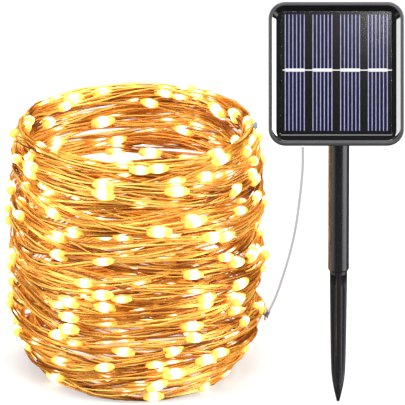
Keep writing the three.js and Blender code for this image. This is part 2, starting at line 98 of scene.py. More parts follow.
def turned(name, profile, segments, smooth_below=40):
    """A closed body of revolution about Z from (radius, z) pairs that start and end on the axis."""
    points = [(0, 0, profile[0][1])]
    for radius, z in profile[1:-1]:
        points += circle(radius, z, segments)
    points.append((0, 0, profile[-1][1]))
    faces = []
    rings = len(profile) - 2
    for i in range(segments):
        after = (i + 1) % segments
        faces.append((0, 1 + after, 1 + i))
        for ring in range(rings - 1):
            a = 1 + ring * segments
            b = a + segments
            faces.append((a + i, a + after, b + after, b + i))
        top = 1 + (rings - 1) * segments
        faces.append((top + i, top + after, len(points) - 1))
    return make_object(name, points, faces, smooth_below)


def ring_of_revolution(name, profile, segments):
    """A closed ring from (radius, z) pairs that go round it once."""
    points = [p for radius, z in profile for p in circle(radius, z, segments)]
    faces = []
    count = len(profile)
    for level in range(count):
        for i in range(segments):
            after = (i + 1) % segments
            a = level * segments
            b = (level + 1) % count * segments
            faces.append((a + i, a + after, b + after, b + i))
    return make_object(name, points, faces, 35)


def move(thing, x, y, z):
    thing.data.transform(Matrix.Translation((x, y, z)))


def shade(thing, smooth_below):
    """Smooth shading, except across edges sharper than the angle."""
    thing.data.shade_smooth()
    thing.data.set_sharp_from_angle(angle=math.radians(smooth_below))


def paint(thing, *finishes):
    """Gives a piece these materials in place of its own."""
    thing.data.materials.clear()
    for finish in finishes:
        thing.data.materials.append(finish)


def smooth_line(points, step):
    """Points about step apart on a smooth curve through the given points."""
    points = np.array(points, float)
    before = 2 * points[0] - points[1]
    after = 2 * points[-1] - points[-2]
    knots = np.vstack([before, points, after])
    line = []
    for i in range(1, len(knots) - 2):
        p0, p1, p2, p3 = knots[i - 1:i + 3]
        pieces = max(2, math.ceil(np.linalg.norm(p2 - p1) / step))
        for t in np.arange(pieces) / pieces:
            line.append(0.5 * (2 * p1 + (p2 - p0) * t + (2 * p0 - 5 * p1 + 4 * p2 - p3) * t ** 2
                               + (3 * p1 - p0 - 3 * p2 + p3) * t ** 3))
    line.append(points[-1])
    return np.array(line)


def quarter_turn(steps, first=0):
    """Sines and cosines at even steps from 0 to 90 degrees."""
    angles = [i / steps * math.pi / 2 for i in range(first, steps + 1)]
    return [(math.sin(angle), math.cos(angle)) for angle in angles]


def unit(vectors):
    return vectors / np.linalg.norm(vectors, axis=-1, keepdims=True)


def tube_data(line, radius, sides, first=0):
    """Points and faces of a closed round tube along a line, with vertex numbers from first."""
    ahead = unit(np.gradient(line, axis=0))
    side = np.cross(ahead, [0, 0, 1.0])
    weak = np.linalg.norm(side, axis=1) < 0.2
    side[weak] = np.cross(ahead[weak], [1.0, 0, 0])
    side = unit(side)
    for i in range(1, len(side)):
        kept = side[i - 1] - ahead[i] * (side[i - 1] @ ahead[i])
        side[i] = kept / np.linalg.norm(kept)
    up = np.cross(ahead, side)
    angles = 2 * math.pi * np.arange(sides) / sides
    radii = np.broadcast_to(radius, len(line))[:, None, None]
    ring = (np.cos(angles)[None, :, None] * side[:, None]
            + np.sin(angles)[None, :, None] * up[:, None])
    points = (line[:, None] + radii * ring).reshape(-1, 3)
    faces = []
    for level in range(len(line) - 1):
        for i in range(sides):
            a = first + level * sides + i
            b = first + level * sides + (i + 1) % sides
            faces.append((a, a + sides, b + sides, b))
    last = first + (len(line) - 1) * sides
    faces.append(tuple(range(first, first + sides)))
    faces.append(tuple(range(last + sides - 1, last - 1, -1)))
    return points, faces


# Materials

def new_material(name, color, roughness, metallic=0.0):
    material = bpy.data.materials.new(name)
    material.use_nodes = True
    shader = material.node_tree.nodes["Principled BSDF"]
    set_inputs(shader, Base_Color=(*color, 1), Roughness=roughness, Metallic=metallic)
    return material, shader


def add(material, kind, **settings):
    node = material.node_tree.nodes.new(kind)
    for key, value in settings.items():
        setattr(node, key, value)
    return node


def set_inputs(node, **values):
    """Sets a node's inputs by name, with an underscore for each space."""
    for name, value in values.items():
        node.inputs[name.replace("_", " ")].default_value = value


def link(material, source, target):
    material.node_tree.links.new(source, target)


def calculate(material, operation, *values, clamp=False):
    """A sum on sockets and plain numbers."""
    node = add(material, "ShaderNodeMath", operation=operation, use_clamp=clamp)
    for socket, value in zip(node.inputs, values):
        if isinstance(value, (int, float)):
            socket.default_value = value
        else:
            link(material, value, socket)
    return node.outputs["Value"]


def ramp(material, value, *stops):
    """The colour for a value, from (position, colour) stops in order."""
    node = add(material, "ShaderNodeValToRGB")
    elements = node.color_ramp.elements
    for element, (position, color) in ((elements[1], stops[-1]), (elements[0], stops[0])):
        element.position = position
        element.color = (*color, 1)
    for position, color in stops[1:-1]:
        elements.new(position).color = (*color, 1)
    link(material, value, node.inputs["Fac"])
    return node.outputs["Color"]


def noise(material, scale, detail, stretch=(1, 1, 1)):
    """Noise that stays with the piece, with the scale in grains for each metre."""
    where = add(material, "ShaderNodeTexCoord")
    mapping = add(material, "ShaderNodeMapping")
    set_inputs(mapping, Scale=stretch)
    texture = add(material, "ShaderNodeTexNoise")
    set_inputs(texture, Scale=scale, Detail=detail)
    link(material, where.outputs["Object"], mapping.inputs["Vector"])
    link(material, mapping.outputs["Vector"], texture.inputs["Vector"])
    return texture.outputs["Fac"]


def remap(material, value, low, high, start=0.3, end=0.7):
    node = add(material, "ShaderNodeMapRange")
    set_inputs(node, From_Min=start, From_Max=end, To_Min=low, To_Max=high)
    link(material, value, node.inputs["Value"])
    return node.outputs["Result"]


def vary_roughness(material, shader, scale, low, high, stretch=(1, 1, 1)):
    value = remap(material, noise(material, scale, 4.0, stretch), low, high)
    link(material, value, shader.inputs["Roughness"])


def vary_color(material, shader, scale, first, second, stretch=(1, 1, 1)):
    grain = noise(material, scale, 3.0, stretch)
    color = ramp(material, grain, (0.35, first), (0.65, second))
    link(material, color, shader.inputs["Base Color"])


def add_bump(material, shader, scale, distance, strength=0.5, stretch=(1, 1, 1)):
    bump = add(material, "ShaderNodeBump")
    set_inputs(bump, Strength=strength, Distance=distance)
    link(material, noise(material, scale, 4.0, stretch), bump.inputs["Height"])
    link(material, bump.outputs["Normal"], shader.inputs["Normal"])


def grained(name, color, roughness, unevenness, grain):
    """A finish with uneven roughness (scale, low, high) and a grain (scale, depth, strength)."""
    material, shader = new_material(name, color, roughness)
    vary_roughness(material, shader, *unevenness)
    add_bump(material, shader, *grain)
    return material, shader


def copper_material():
    """Lacquered copper wire with painted shading: darker and brighter along its length and in
    patches of the coil, in place of shade and light in the bundle.
    """
    material, shader = new_material("lacquered_copper", (0.8, 0.34, 0.07), 0.3, 0.45)
    painted_shading = add(material, "ShaderNodeAttribute", attribute_name="painted_shading")
    # Painted shade and light: broad darker and brighter patches over the coil.
    shading_patches = remap(material, noise(material, 28, 2.0, (1, 1, 2.2)), -0.3, 0.3)
    total = calculate(material, "ADD", painted_shading.outputs["Fac"], shading_patches, clamp=True)
    # The dark brown end of the ramp is painted shade, the pale gold end painted light.
    color = ramp(material, total, (0, (0.24, 0.055, 0.006)), (0.4, (0.84, 0.33, 0.03)),
                 (1, (1.0, 0.62, 0.13)))
    link(material, color, shader.inputs["Base Color"])
    vary_roughness(material, shader, 900, 0.22, 0.42)
    return material


def resin_material():
    """A lit drop of clear resin: white-hot over the chip, pale to golden yellow at its ends."""
    material, shader = new_material("lit_resin", (0.85, 0.5, 0.09), 0.12)
    glow = add(material, "ShaderNodeAttribute", attribute_name="glow")
    color = ramp(material, glow.outputs["Fac"], (0, (1.0, 0.56, 0.06)), (0.25, (1.0, 0.76, 0.2)),
                 (0.7, (1.0, 0.93, 0.72)))
    link(material, color, shader.inputs["Emission Color"])
    strength = remap(material, glow.outputs["Fac"], 0.52, 2.2, 0.05, 0.95)
    link(material, strength, shader.inputs["Emission Strength"])
    return material


def glowing_sheath_material():
    """Sheath with a dark base colour and a painted white glow, which makes it read pale; the sheath
    is no lamp.
    """
    material, shader = grained("pvc_with_painted_glow", (0.025, 0.025, 0.025), 0.7, (1500, 0.28, 0.45),
                               (3000, 0.00005, 0.3))
    # Painted glow: white emission on a sheath that gives no light of its own.
    set_inputs(shader, Specular_IOR_Level=0.1, Emission_Color=(1, 1, 1, 1), Emission_Strength=0.5)
    return material


def sleeve_material():
    return grained("shrink_sleeve", (0.13, 0.22, 0.32), 0.45, (1200, 0.22, 0.4),
                   (1600, 0.0001, 0.4))[0]


# Camera

VIEW_ELEVATION = 20
VIEW_DISTANCE = 10.0
FRAME_WIDTH = 0.2411
VIEW_TARGET = Vector((-0.0809, 0.0202, 0.1186))
SENSOR = 36.0


def make_camera():
    elevation = math.radians(VIEW_ELEVATION)
    ahead = Vector((0, math.cos(elevation), -math.sin(elevation)))
    data = bpy.data.cameras.new("camera")
    data.sensor_width = SENSOR
    data.lens = SENSOR * VIEW_DISTANCE / FRAME_WIDTH
    data.clip_start = 0.1
    data.clip_end = 100
    camera = bpy.data.objects.new("camera", data)
    camera.location = VIEW_TARGET - ahead * VIEW_DISTANCE
    camera.rotation_mode = "QUATERNION"
    camera.rotation_quaternion = ahead.to_track_quat("-Z", "Y")
    bpy.context.scene.collection.objects.link(camera)
    bpy.context.scene.camera = camera


# The lead, from the gland on the head down to the splice beside the coil

LEAD_RADIUS = 0.8 * MM
LEAD_ROUTE = [
    (-21.6, -31.7, 172.4), (-21.6, -33.2, 168.1), (-21.6, -34.95, 163.45),
    (-21.9, -36.4, 157.0), (-22.5, -36.8, 150.0), (-23.4, -35.9, 141.0),
    (-24.4, -33.7, 132.0), (-25.6, -29.9, 122.0), (-27.0, -24.6, 112.0),
    (-28.7, -17.8, 102.0), (-30.4, -9.5, 92.0), (-32.2, 0.4, 82.0),
    (-34.0, 11.3, 71.8), (-35.7, 22.8, 62.0), (-37.6, 34.1, 52.6),
    (-39.5, 44.6, 44.2), (-41.2, 52.0, 38.0),
]


def make_lead():
    line = smooth_line(LEAD_ROUTE, 1.2) * MM
    points, faces = tube_data(line, LEAD_RADIUS, 16)
    lead = make_object("lead", points, faces)
    paint(lead, glowing_sheath_material())
    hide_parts("lead_upper", "lead_lower")
    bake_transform(lead)
    sleeve = NODES["splice_sleeve"]
    paint(sleeve, sleeve_material())


# The light string

SEED = 46
TURNS = 74
POINTS_PER_TURN = 42
TURNS_PER_PASS = 10
RIM_TURNS = 3.5
STRAND_COUNT = 6
STRAND_RADIUS = 0.5 * MM
STRAND_SIDES = 5
BEAD_SPACING = 0.1
BEAD_HALF_LENGTH = 7.0 * MM
BEAD_RADIUS = 3.0 * MM
COIL_MARGIN = 1.6 * MM
PUSH_WIDTH = 3.0  # points along the line
PUSH_LIMIT = 4.5 * MM
SINK_DEPTH = 3 * MM
PROUD_SHARE = 0.42  # of the beads, the others lie deeper in the coil
SWEEP_START = 0.24  # the first turn's height, as a share of the wall
SWEEP_EASE = 0.4  # how much the turns crowd at the two ends
FOLD_BACK = 0.6
JOIN_TURNS = 0.7  # from the splice into the wall
FOOT_SQUEEZE = 0.24
FOOT_HEIGHT = 7 * MM
BEAD_RINGS = 13
BEAD_SIDES = 14


def coil_walls():
    """The coil solid's centre, and its inner and outer radius at each height."""
    solid = NODES["light_coil"]
    low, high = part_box("light_coil")
    centre = np.array([(low.x + high.x) / 2, (low.y + high.y) / 2])
    heights = np.linspace(low.z + 0.5 * MM, high.z - 0.5 * MM, 40)
    reach = high.y - low.y
    outer = []
    inner = []
    for z in heights:
        middle = Vector((*centre, z))
        outer.append(reach - solid.ray_cast(middle - Vector((0, reach, 0)), (0, 1, 0))[1].y)
        inner.append(solid.ray_cast(middle, (0, 1, 0))[1].y)
    return centre, heights, np.array(inner) - centre[1], np.array(outer) - reach + centre[1]


def waves(rng, turn, rows):
    """A sum of slow waves along the string, each row (cycles for each turn, size)."""
    total = np.zeros_like(turn)
    for cycles, size in rows:
        cycles = cycles * (1 + 0.02 * rng.standard_normal())
        total += size * np.sin(2 * math.pi * (cycles * turn + rng.random()))
    return total


def smoothstep(x):
    x = np.clip(x, 0, 1)
    return x * x * (3 - 2 * x)


# Where strands are drawn together: angle in degrees, height, how many mm above and below
# it they come from, strength and half width in degrees
PINCHES = [
    (184, 132, 20, 0.5, 30),
    (4, 122, 20, 0.45, 28),
    (205, 72, 18, 0.35, 26),
    (305, 120, 14, 0.4, 22),
    (338, 64, 18, 0.35, 26),
    (255, 92, 14, 0.3, 22),
]


def pinch(angle, height):
    degrees = np.degrees(angle)
    for at, middle, reach, strength, half_width in PINCHES:
        apart = (degrees - at + 180) % 360 - 180
        near = np.exp(-(apart / half_width) ** 2)
        taken = np.exp(-((height / MM - middle) / reach) ** 4)
        height = height + (middle * MM - height) * strength * near * taken
    return height


def string_line(start):
    """The string's centreline, wound up and down the coil's wall in loose uneven turns."""
    rng = np.random.default_rng(SEED)
    centre, heights, inner, outer = coil_walls()
    turn = np.arange(TURNS * POINTS_PER_TURN + 1) / POINTS_PER_TURN
    offset = start[:2] - centre
    start_angle = math.atan2(offset[1], offset[0])
    angle = start_angle + 2 * math.pi * turn
    sweep = turn / TURNS_PER_PASS + SWEEP_START
    rise = np.abs((sweep + 1) % 2 - 1)
    rise = (1 - SWEEP_EASE) * rise + SWEEP_EASE * (0.5 - 0.5 * np.cos(math.pi * rise))
    rise = rise ** 1.1
    top = heights[-1]
    height = 3 * MM + (top - 5 * MM) * rise
    height += waves(rng, turn, [
        (0.17, 1.6 * MM), (0.41, 1.3 * MM), (0.985, 4 * MM), (1.03, 2.5 * MM),
        (1.97, 3 * MM), (2.05, 2 * MM), (2.96, 1.3 * MM), (4.1, 0.6 * MM),
    ])
    height = pinch(angle, height)
    height = fold_into(height, 2.6 * MM, top - 1.2 * MM)
    rim = smoothstep((turn - (TURNS - RIM_TURNS - 1)) / 0.8)
    rim_height = top - 2.2 * MM + waves(rng, turn, [(0.31, 0.7 * MM), (1.02, 0.9 * MM)])
    height = height * (1 - rim) + rim_height * rim
    share = 0.62 + waves(rng, turn, [
        (0.13, 0.2), (0.37, 0.2), (0.98, 0.16), (1.52, 0.12), (2.03, 0.12), (3.1, 0.06),
    ])
    share = np.clip(share, 0.03, 0.97)
    inside = np.interp(height, heights, inner) + COIL_MARGIN
    outside = np.interp(height, heights, outer) - COIL_MARGIN
    radius = inside + (outside - inside) * share
    joined = smoothstep(turn / JOIN_TURNS)
    radius = np.linalg.norm(offset) * (1 - joined) + radius * joined
    height = start[2] * (1 - joined) + height * joined
    squeeze = 1 - FOOT_SQUEEZE * np.exp(-height / FOOT_HEIGHT)
    return np.column_stack([
        centre[0] + radius * np.cos(angle) * squeeze,
        centre[1] + radius * np.sin(angle),
        height,
    ])


def fold_into(height, low, high):
    """Heights beyond the ends are turned back inside."""
    height = np.where(height < low, low + (low - height) * FOLD_BACK, height)
    return np.where(height > high, high - (height - high) * FOLD_BACK, height)


def bead_places(line, rng):
    """Indexes on the line of the beads, and how far each one is pushed out of the coil."""
    along = np.concatenate([[0], np.cumsum(np.linalg.norm(np.diff(line, axis=0), axis=1))])
    count = int(along[-1] / BEAD_SPACING) - 1
    wanted = (np.arange(count) + 1 + 0.7 * (rng.random(count) - 0.5)) * BEAD_SPACING
    push = np.where(rng.random(count) < PROUD_SHARE, 1.0, -0.6)
    return np.searchsorted(along, wanted), push


def near_beads(count, places, width):
    """How near each of the line's points is to a bead, from 0 to 1."""
    near = np.zeros(count)
    index = np.arange(count)
    for place in places:
        near = np.maximum(near, np.exp(-((index - place) / width) ** 2))
    return near


def push_out(line, places, push):
    """The string stands proud of the bundle at its beads."""
    centre, heights, inner, outer = coil_walls()
    radial = line[:, :2] - centre
    radius = np.linalg.norm(radial, axis=1)
    surface = np.interp(line[:, 2], heights, outer) - 0.6 * MM
    index = np.arange(len(line))
    shift = np.zeros(len(line))
    for place, amount in zip(places, push):
        bump = np.exp(-((index - place) / PUSH_WIDTH) ** 2)
        if amount > 0:
            out = min(surface[place] - radius[place], PUSH_LIMIT)
        else:
            out = amount * SINK_DEPTH
        shift += out * bump
    line = line.copy()
    line[:, :2] += radial / radius[:, None] * shift[:, None]
    lift = near_beads(len(line), places, PUSH_WIDTH)
    line[:, 2] += np.maximum(BEAD_RADIUS + 0.3 * MM - line[:, 2], 0) * lift
    return line


def strand_meshes(line, places, rng):
    """The strands laid loosely side by side along the string, with painted shading along each."""
    turn = np.arange(len(line)) / POINTS_PER_TURN
    ahead = unit(np.gradient(line, axis=0))
    out = unit(np.cross(ahead, [0, 0, 1.0]))
    up = np.cross(out, ahead)
    gather = 1 - 0.8 * near_beads(len(line), places, 0.9)
    points = []
    faces = []
    painted_shadings = []
    first = 0
    for i in range(STRAND_COUNT):
        lay = 2 * math.pi * i / STRAND_COUNT + waves(rng, turn, [(0.7, 1.4), (2.3, 0.9), (5.3, 0.5)])
        spread = (1.7 + waves(rng, turn, [(0.83, 0.35), (2.6, 0.3), (6.1, 0.15)])) * MM * gather
        strand = line + spread[:, None] * (1.4 * np.cos(lay)[:, None] * up
                                           + 0.7 * np.sin(lay)[:, None] * out)
        strand[:, 2] = np.maximum(strand[:, 2], STRAND_RADIUS)
        p, f = tube_data(strand, STRAND_RADIUS, STRAND_SIDES, first)
        # Painted shading: every other strand lighter, with slow darker and brighter waves, in place
        # of shade between the wires.
        painted_shading = 0.35 + 0.3 * (i % 2) + waves(rng, turn, [(0.31, 0.25), (1.7, 0.2), (4.7, 0.15)])
        painted_shadings.append(np.repeat(painted_shading, STRAND_SIDES))
        points.append(p)
        faces += f
        first += len(p)
    return np.vstack(points), faces, np.concatenate(painted_shadings)


def bead_meshes(line, places, rng):
    """Every bead as a resin drop along the string, thick in the middle, with its glow."""
    ahead = unit(np.gradient(line, axis=0))
    along = np.linspace(-1, 1, BEAD_RINGS)
    width = np.sqrt(1 - 0.82 * np.abs(along) ** 2.2)
    points = []
    faces = []
    glows = []
    first = 0
    for place in places:
        axis = unit(ahead[place] + 0.12 * rng.standard_normal(3))
        size = rng.uniform(0.85, 1.1)
        spine = line[place] + along[:, None] * BEAD_HALF_LENGTH * size * axis
        p, f = tube_data(spine, BEAD_RADIUS * size * width, BEAD_SIDES, first)
        points.append(p)
        faces += f
        glows.append(np.repeat(np.exp(-(along / 0.42) ** 2), BEAD_SIDES))
        first += len(p)
    return np.vstack(points), faces, np.concatenate(glows)


def set_attribute(thing, name, values):
    attribute = thing.data.attributes.new(name, "FLOAT", "POINT")
    attribute.data.foreach_set("value", np.asarray(values, np.float32))


def make_string():
    rng = np.random.default_rng(SEED + 1)
    low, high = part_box("splice_sleeve")
    start = np.array([low.x + 0.9 * MM, high.y, low.z + 0.9 * MM])
    line = string_line(start)
    places, push = bead_places(line, rng)
    line = push_out(line, places, push)
    points, faces, painted_shadings = strand_meshes(line, places, rng)
    string = make_object("copper_string", points, faces, 80)
    # The painted shading rides on the strands as a point attribute.
    set_attribute(string, "painted_shading", painted_shadings)
    paint(string, copper_material())
    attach(string, "root")
    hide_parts("light_coil")
    points, faces, glows = bead_meshes(line, places, rng)
    beads = make_object("lamp_beads", points, faces, 80)
    set_attribute(beads, "glow", glows)
    paint(beads, resin_material())
    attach(beads, "root")
    cap_line = line[-1] + np.linspace(0, 1, 8)[:, None] * unit(line[-1] - line[-2]) * 8 * MM
    points, faces = tube_data(cap_line, 1.9 * MM, 16)
    cap = make_object("string_end_cap", points, faces)
    paint(cap, sleeve_material())
    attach(cap, "root")


# The solar head, built in its own axes: X across, Y up the panel, Z out of its face

FACE = Vector(JOINTS["power_press"]["axis"])
ACROSS = Vector((1, 0, 0))
HINGE = Vector(JOINTS["panel_tilt"]["pos_m"])
BEZEL_LOW, BEZEL_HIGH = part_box("front_bezel")
HEAD = Matrix((ACROSS, FACE.cross(ACROSS), FACE)).transposed().to_4x4()
HEAD.translation = Vector(((BEZEL_LOW.x + BEZEL_HIGH.x) / 2, HINGE.y, HINGE.z))
CORNER_STEPS = 14


def head_box(node):
    """Lowest and highest corner of a CAD node in the head's axes."""
    into = HEAD.inverted()
    points = np.array([into @ v.co for v in NODES[node].data.vertices])
    return Vector(points.min(0)), Vector(points.max(0))


def place_on_head(thing, body="solar_head"):
    thing.data.transform(HEAD)
    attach(thing, body)


def rounded_loop(width, height, corner, z, up):
    """A rectangle with round corners at height z, its middle moved up."""
    points = []
    for quarter, (side_x, side_y) in enumerate(((1, 1), (-1, 1), (-1, -1), (1, -1))):
        for i in range(CORNER_STEPS + 1):
            angle = (quarter + i / CORNER_STEPS) * math.pi / 2
            points.append((side_x * (width / 2 - corner) + corner * math.cos(angle),
                           side_y * (height / 2 - corner) + corner * math.sin(angle) + up, z))
    return points


def inset_loop(size, inset, z):
    """The same outline drawn in by the inset: size is (width, height, corner, up)."""
    width, height, corner, up = size
    return rounded_loop(width - 2 * inset, height - 2 * inset, corner - inset, z, up)


def rounded_edge(size, radius, z, steps, rising=True):
    """Loops over a rounded top edge, from its side to its face, or back if not rising."""
    loops = [inset_loop(size, radius * (1 - cosine), z - radius + radius * sine)
             for sine, cosine in quarter_turn(steps)]
    return loops if rising else loops[::-1]


def box_data(low, high, first=0):
    """Points and faces of a closed box, with vertex numbers from first."""
    points = [(x, y, z) for z in (low[2], high[2]) for y in (low[1], high[1])
              for x in (low[0], high[0])]
    faces = [(0, 2, 3, 1), (4, 5, 7, 6), (0, 1, 5, 4), (2, 6, 7, 3), (0, 4, 6, 2), (1, 3, 7, 5)]
    return points, [tuple(first + i for i in face) for face in faces]


def boxes(name, rows):
    """One mesh of closed boxes, from (low, high) corners."""
    points = []
    faces = []
    for low, high in rows:
        more, sides = box_data(low, high, len(points))
        points += more
        faces += sides
    return make_object(name, points, faces)


def combine(base, tool, operation):
    """Cuts or joins the base with the tool, which is used up."""
    modifier = base.modifiers.new("combine", "BOOLEAN")
    modifier.object = tool
    modifier.operation = operation
    modifier.solver = "EXACT"
    bpy.context.view_layer.update()
    shown = base.evaluated_get(bpy.context.evaluated_depsgraph_get())
    mesh = bpy.data.meshes.new_from_object(shown)
    base.modifiers.clear()
    base.data = mesh
    bpy.data.objects.remove(tool)


# Head materials

def rim_material():
    """Satin charcoal plastic of the head's rim and case, with a fine moulded grain."""
    return grained("satin_charcoal", (0.026, 0.026, 0.029), 0.4, (700, 0.34, 0.46),
                   (4500, 0.00004, 0.35))[0]


def stake_material(name, gloss):
    """Smoother, darker plastic of the stake."""
    material, shader = grained(name, (0.011, 0.011, 0.013), 0.3, (500, 0.2, 0.28),
                               (2500, 0.00003, 0.3))
    set_inputs(shader, Specular_IOR_Level=gloss)
    return material


def wall_material():
    """Piano-black sloped walls inside the rim."""
    material, shader = new_material("piano_black", (0.004, 0.004, 0.0045), 0.06)
    set_inputs(shader, Specular_IOR_Level=0.9)
    vary_roughness(material, shader, 260, 0.045, 0.09)
    return material


def plate_material():
    material, shader = new_material("panel_black", (0.003, 0.003, 0.003), 0.5)
    set_inputs(shader, Specular_IOR_Level=0.1)
    vary_color(material, shader, 900, (0.002, 0.0018, 0.0021), (0.0038, 0.0036, 0.0034))
    vary_roughness(material, shader, 1400, 0.32, 0.5)
    return material


def cell_material():
    """Dark blue-violet silicon with a faint change of hue along each wafer."""
    material, shader = new_material("silicon_cell", (0.004, 0.004, 0.028), 0.5)
    set_inputs(shader, Specular_IOR_Level=0.15)
    vary_color(material, shader, 90, (0.0016, 0.0016, 0.013), (0.004, 0.004, 0.027), (3, 0.6, 1))
    vary_roughness(material, shader, 2200, 0.22, 0.4)
    return material


def finger_material():
    """Printed silver grid lines, pale lavender under the panel's sheet."""
    material, shader = new_material("silver_print", (0.22, 0.22, 0.34), 0.5)
    vary_color(material, shader, 500, (0.19, 0.19, 0.30), (0.25, 0.25, 0.38), (1, 0.2, 1))
    return material


def ribbon_material():
    return grained("tinned_ribbon", (0.45, 0.45, 0.47), 0.4, (1800, 0.3, 0.55),
                   (1500, 0.00008, 0.4))[0]


def sheet_material():
    """Clear sheet: see-through, with only its own gloss."""
    material = bpy.data.materials.new("clear_sheet")
    material.use_nodes = True
    nodes = material.node_tree.nodes
    nodes.remove(nodes["Principled BSDF"])
    clear = add(material, "ShaderNodeBsdfTransparent")
    gloss = add(material, "ShaderNodeBsdfGlossy")
    rough = remap(material, noise(material, 60, 2.0), 0.2, 0.23)
    link(material, rough, gloss.inputs["Roughness"])
    fresnel = add(material, "ShaderNodeFresnel")
    set_inputs(fresnel, IOR=1.45)
    face = add(material, "ShaderNodeNewGeometry")
    front = calculate(material, "SUBTRACT", 1, face.outputs["Backfacing"])
    share = calculate(material, "MULTIPLY", fresnel.outputs["Fac"], front)
    mix = add(material, "ShaderNodeMixShader")
    link(material, share, mix.inputs["Fac"])
    link(material, clear.outputs["BSDF"], mix.inputs[1])
    link(material, gloss.outputs["BSDF"], mix.inputs[2])
    link(material, mix.outputs["Shader"], nodes["Material Output"].inputs["Surface"])
    return material


def simple_finish(name, color, roughness, metallic=0.0, grain=1200):
    """A plain moulded or metal finish with uneven gloss and a fine grain."""
    material, shader = new_material(name, color, roughness, metallic)
    dark = tuple(0.8 * c for c in color)
    pale = tuple(min(1.0, 1.2 * c) for c in color)
    vary_color(material, shader, grain * 0.4, dark, pale)
    vary_roughness(material, shader, grain, roughness * 0.8, min(1.0, roughness * 1.25))
    add_bump(material, shader, grain * 2, 0.00004, 0.3)
    return material


# Bezel and panel

RIM_WIDTH = 2.0 * MM
RIM_ROUND = 0.9 * MM
RIM_INNER_ROUND = 0.12 * MM
HEAD_CORNER = 10 * MM
WALL_CORNER = 8 * MM
LEDGE_SIZE = (71.2 * MM, 77 * MM, 6 * MM, -1.1 * MM)
RECESS = 1.8 * MM
SKIRT_WALL = 1.8 * MM
TRAY_THICK = 1.4 * MM


def make_bezel():
    low, high = head_box("front_bezel")
    panel_low, panel_high = head_box("solar_plate")
    size = (high.x - low.x, high.y - low.y, HEAD_CORNER, 0)
    front = high.z
    ledge = front - RECESS
    gap = 0.3 * MM
    pocket = (panel_high.x - panel_low.x + 2 * gap, panel_high.y - panel_low.y + 2 * gap, 1 * MM,
              (panel_low.y + panel_high.y) / 2)
    floor = panel_low.z - 0.12 * MM
    inner_rim = (size[0] - 2 * RIM_WIDTH, size[1] - 2 * RIM_WIDTH, WALL_CORNER, 0)
    skirt = (size[0] - 2 * SKIRT_WALL, size[1] - 2 * SKIRT_WALL, HEAD_CORNER - SKIRT_WALL, 0)
    walls = [
        inset_loop(pocket, 0, floor),
        inset_loop(pocket, 0, ledge - 0.22 * MM),
        inset_loop(pocket, -0.4 * MM, ledge),
        inset_loop(LEDGE_SIZE, 0.3 * MM, ledge),
        inset_loop(LEDGE_SIZE, 0.08 * MM, ledge + 0.03 * MM),
        inset_loop(LEDGE_SIZE, -0.1 * MM, ledge + 0.14 * MM),
    ]
    wall_count = len(walls)
    rim = [inset_loop(inner_rim, 0.12 * MM, front - 0.22 * MM)]
    for sine, _ in quarter_turn(4):
        rim.append(inset_loop(inner_rim, -RIM_INNER_ROUND * sine,
                              front - RIM_INNER_ROUND * (1 - sine) * 0.6))
    rim += rounded_edge(size, RIM_ROUND, front, 6, rising=False)
    rim += [inset_loop(size, 0, low.z + 0.3 * MM), inset_loop(size, 0.3 * MM, low.z),
            inset_loop(skirt, 0, low.z), inset_loop(skirt, 0, floor - TRAY_THICK)]
    bezel = loft("bezel", walls + rim, 18)
    corner_count = 4 * (CORNER_STEPS + 1)
    paint(bezel, rim_material(), wall_material())
    for face in bezel.data.polygons:
        level = min(face.vertices) // corner_count
        face.material_index = 1 if level < wall_count else 0
    place_on_head(bezel)
    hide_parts("front_bezel")


FINGER_COUNT = 6
FINGER_WIDTH = 0.5 * MM
FINGER_RISE = 0.05 * MM
FINGER_END = 0.3 * MM
CELL_EDGE = 0.05 * MM
RIBBON_HALF_WIDTH = 0.32 * MM


def make_cells(cell_finish, finger_finish):
    for index in range(1, 5):
        node = f"solar_cell_{index}"
        low, high = head_box(node)
        top = high.z - FINGER_RISE
        rows = [(low, (high.x, high.y, top))]
        pitch = (high.x - low.x - FINGER_WIDTH - 2 * CELL_EDGE) / (FINGER_COUNT - 1)
        for i in range(FINGER_COUNT):
            x = low.x + CELL_EDGE + i * pitch
            rows.append(((x, low.y + FINGER_END, top - 0.02 * MM),
                         (x + FINGER_WIDTH, high.y - FINGER_END, high.z)))
        cell = boxes(f"silicon_cell_{index}", rows)
        paint(cell, cell_finish, finger_finish)
        for face in cell.data.polygons[6:]:
            face.material_index = 1
        place_on_head(cell)
        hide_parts(node)


def make_ribbon():
    low, high = head_box("tab_ribbon")
    middle = (low.y + high.y) / 2
    rows = [((low.x - 1.2 * MM, middle - RIBBON_HALF_WIDTH, low.z),
             (high.x + 2.4 * MM, middle + RIBBON_HALF_WIDTH, high.z - 0.02 * MM))]
    ribbon = boxes("busbar_ribbon", rows)
    for index in range(1, 5):
        cell_low, cell_high = head_box(f"solar_cell_{index}")
        size = (cell_high.x - cell_low.x, high.y - low.y, 0.3 * MM, 0)
        pad = loft("pad", [inset_loop(size, 0, low.z), inset_loop(size, 0, high.z - 0.03 * MM),
                           inset_loop(size, 0.05 * MM, high.z)])
        move(pad, (cell_low.x + cell_high.x) / 2, middle, 0)
        combine(ribbon, pad, "UNION")
    paint(ribbon, ribbon_material())
    place_on_head(ribbon)
    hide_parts("tab_ribbon")


def make_sheet():
    low, high = head_box("clear_cover")
    size = (high.x - low.x, high.y - low.y, 0.8 * MM, (low.y + high.y) / 2)
    loops = [inset_loop(size, 0, low.z)] + rounded_edge(size, 0.3 * MM, high.z, 4)
    sheet = loft("panel_sheet", loops, 30)
    paint(sheet, sheet_material())
    place_on_head(sheet)
    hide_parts("clear_cover")


# Rear case, in the head's axes: size rows are (width, height, corner, up)

